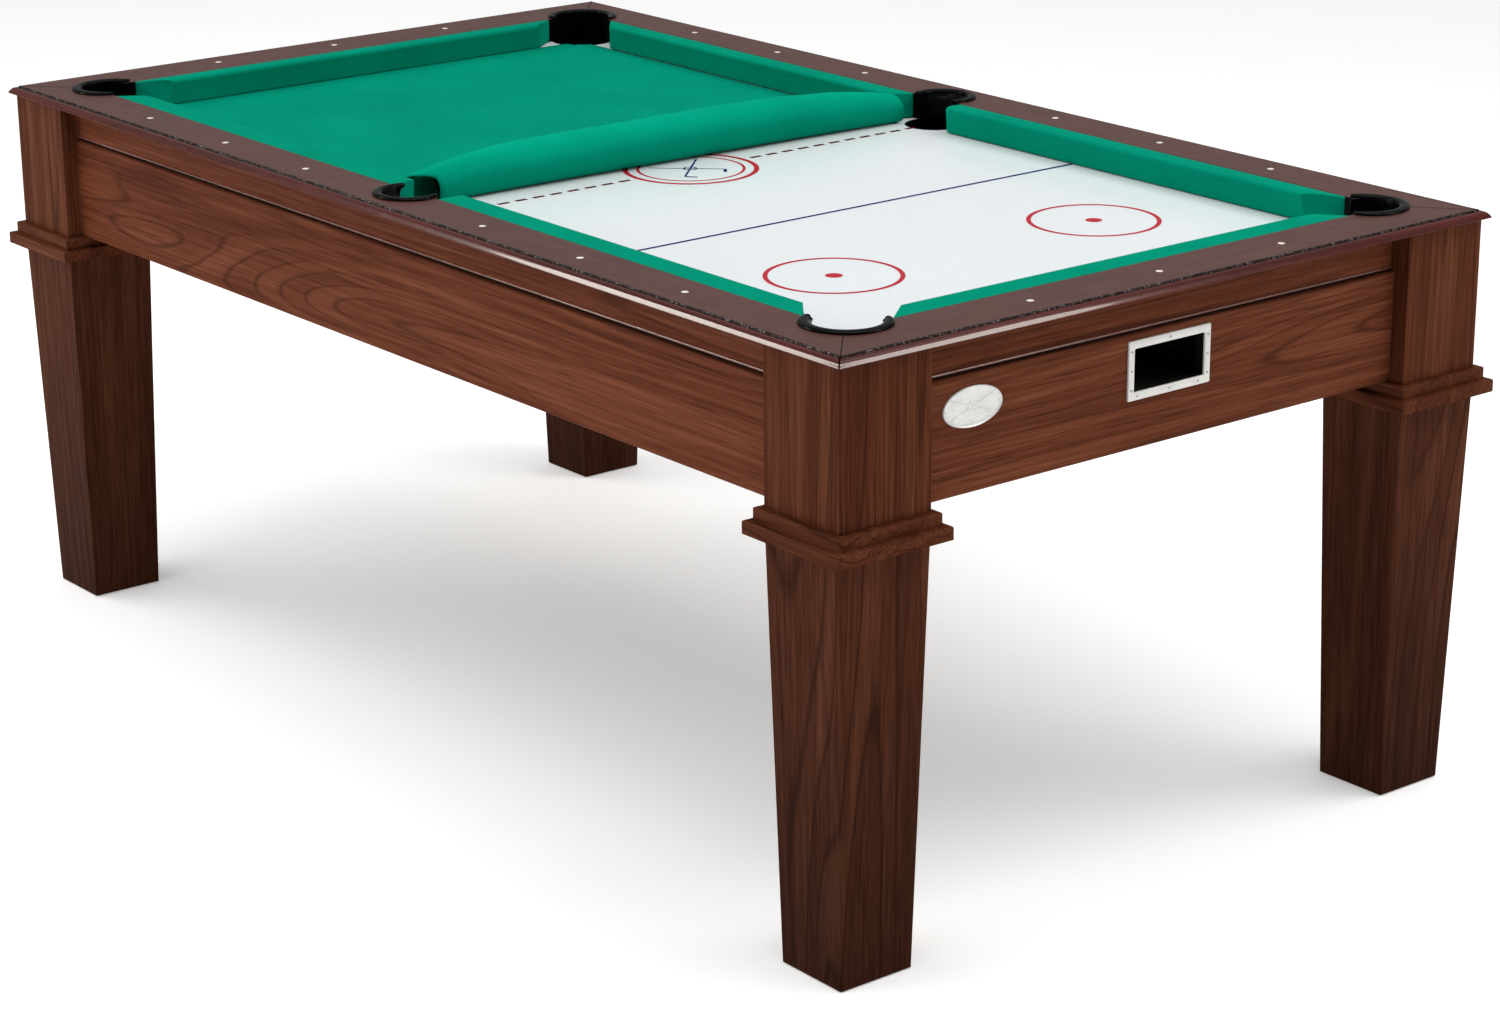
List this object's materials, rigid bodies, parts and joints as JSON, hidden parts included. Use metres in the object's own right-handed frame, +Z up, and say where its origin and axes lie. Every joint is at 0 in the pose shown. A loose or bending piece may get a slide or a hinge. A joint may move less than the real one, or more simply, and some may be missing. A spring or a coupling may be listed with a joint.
{
  "type": "pool table",
  "caption": "Pocket billiard table with a white slide-hockey bed, a green cloth mat rolled back to the side pockets, walnut cabinet, ball window and tapered square legs.",
  "frame": {"origin": "on the floor, under the centre of the bounding box", "axes": "+X along the table to the foot end with the ball window, +Y to the right side, +Z up"},
  "size_m": [2.112, 1.19, 0.8683],
  "materials": {
    "hockey_bed": "white printed laminate on fibreboard",
    "rail_laminate": "matte purplish brown laminate",
    "mahogany_bead": "glossy dark red lacquer",
    "green_cloth": "matte green felt",
    "black_plastic": "satin black",
    "walnut": "reddish walnut laminate, satin",
    "dark_walnut": "darker walnut laminate, satin",
    "raw_board": "unfinished particle board",
    "track_plastic": "matte black",
    "silver_metal": "brushed pale silver",
    "pad_plastic": "matte black",
    "steel": "zinc plated"
  },
  "bodies": {
    "table": {"playfield_board": "hockey_bed", "left_rail": "rail_laminate", "right_rail": "rail_laminate", "foot_rail": "rail_laminate", "head_rail": "rail_laminate", "left_edge_bead": "mahogany_bead", "right_edge_bead": "mahogany_bead", "foot_edge_bead": "mahogany_bead", "head_edge_bead": "mahogany_bead", "foot_cushion": "green_cloth", "head_cushion": "green_cloth", "left_cushion_foot_half": "green_cloth", "left_cushion_head_half": "green_cloth", "right_cushion_foot_half": "green_cloth", "right_cushion_head_half": "green_cloth", "foot_left_pocket_liner": "black_plastic", "foot_right_pocket_liner": "black_plastic", "head_left_pocket_liner": "black_plastic", "head_right_pocket_liner": "black_plastic", "left_side_pocket_liner": "black_plastic", "right_side_pocket_liner": "black_plastic", "left_fascia": "walnut", "right_fascia": "walnut", "foot_fascia": "walnut", "head_fascia": "walnut", "left_apron": "walnut", "right_apron": "walnut", "foot_apron": "walnut", "head_apron": "walnut", "foot_left_corner_post": "walnut", "foot_right_corner_post": "walnut", "head_left_corner_post": "walnut", "head_right_corner_post": "walnut", "foot_left_leg_collar": "dark_walnut", "foot_right_leg_collar": "dark_walnut", "head_left_leg_collar": "dark_walnut", "head_right_leg_collar": "dark_walnut", "foot_left_leg": "dark_walnut", "foot_right_leg": "dark_walnut", "head_left_leg": "dark_walnut", "head_right_leg": "dark_walnut", "head_cross_board": "raw_board", "middle_cross_board": "raw_board", "foot_cross_board": "raw_board", "left_ball_track": "track_plastic", "right_ball_track": "track_plastic", "ball_box": "track_plastic", "ball_window_frame": "silver_metal", "oval_badge": "silver_metal"},
    "mat": {"cloth_mat": "green_cloth"},
    "foot_left_pad": {"foot_left_leveller_pad": "pad_plastic"},
    "foot_left_stud": {"foot_left_leveller_stud": "steel"},
    "foot_right_pad": {"foot_right_leveller_pad": "pad_plastic"},
    "foot_right_stud": {"foot_right_leveller_stud": "steel"},
    "head_left_pad": {"head_left_leveller_pad": "pad_plastic"},
    "head_left_stud": {"head_left_leveller_stud": "steel"},
    "head_right_pad": {"head_right_leveller_pad": "pad_plastic"},
    "head_right_stud": {"head_right_leveller_stud": "steel"}
  },
  "joints": [
    {"name": "mat_lift", "type": "slide", "parent": "table", "child": "mat", "axis": [0, 0, 1], "range_m": [0, 0.3]},
    {"name": "foot_left_pad_height", "type": "slide", "parent": "table", "child": "foot_left_pad", "axis": [0, 0, -1], "range_m": [0, 0.0155]},
    {"name": "foot_left_stud_turn", "type": "hinge", "parent": "foot_left_pad", "child": "foot_left_stud", "pos_m": [0.963, -0.502, 0.03], "axis": [0, 0, -1], "range_deg": [0, 3600]},
    {"name": "foot_right_pad_height", "type": "slide", "parent": "table", "child": "foot_right_pad", "axis": [0, 0, -1], "range_m": [0, 0.0155]},
    {"name": "foot_right_stud_turn", "type": "hinge", "parent": "foot_right_pad", "child": "foot_right_stud", "pos_m": [0.963, 0.502, 0.03], "axis": [0, 0, -1], "range_deg": [0, 3600]},
    {"name": "head_left_pad_height", "type": "slide", "parent": "table", "child": "head_left_pad", "axis": [0, 0, -1], "range_m": [0, 0.0155]},
    {"name": "head_left_stud_turn", "type": "hinge", "parent": "head_left_pad", "child": "head_left_stud", "pos_m": [-0.963, -0.502, 0.03], "axis": [0, 0, -1], "range_deg": [0, 3600]},
    {"name": "head_right_pad_height", "type": "slide", "parent": "table", "child": "head_right_pad", "axis": [0, 0, -1], "range_m": [0, 0.0155]},
    {"name": "head_right_stud_turn", "type": "hinge", "parent": "head_right_pad", "child": "head_right_stud", "pos_m": [-0.963, 0.502, 0.03], "axis": [0, 0, -1], "range_deg": [0, 3600]}
  ],
  "couplings": [
    {"joint": "foot_left_pad_height", "follows": "foot_left_stud_turn", "m_per_rad": 0.00023873},
    {"joint": "foot_right_pad_height", "follows": "foot_right_stud_turn", "m_per_rad": 0.00023873},
    {"joint": "head_left_pad_height", "follows": "head_left_stud_turn", "m_per_rad": 0.00023873},
    {"joint": "head_right_pad_height", "follows": "head_right_stud_turn", "m_per_rad": 0.00023873}
  ]
}
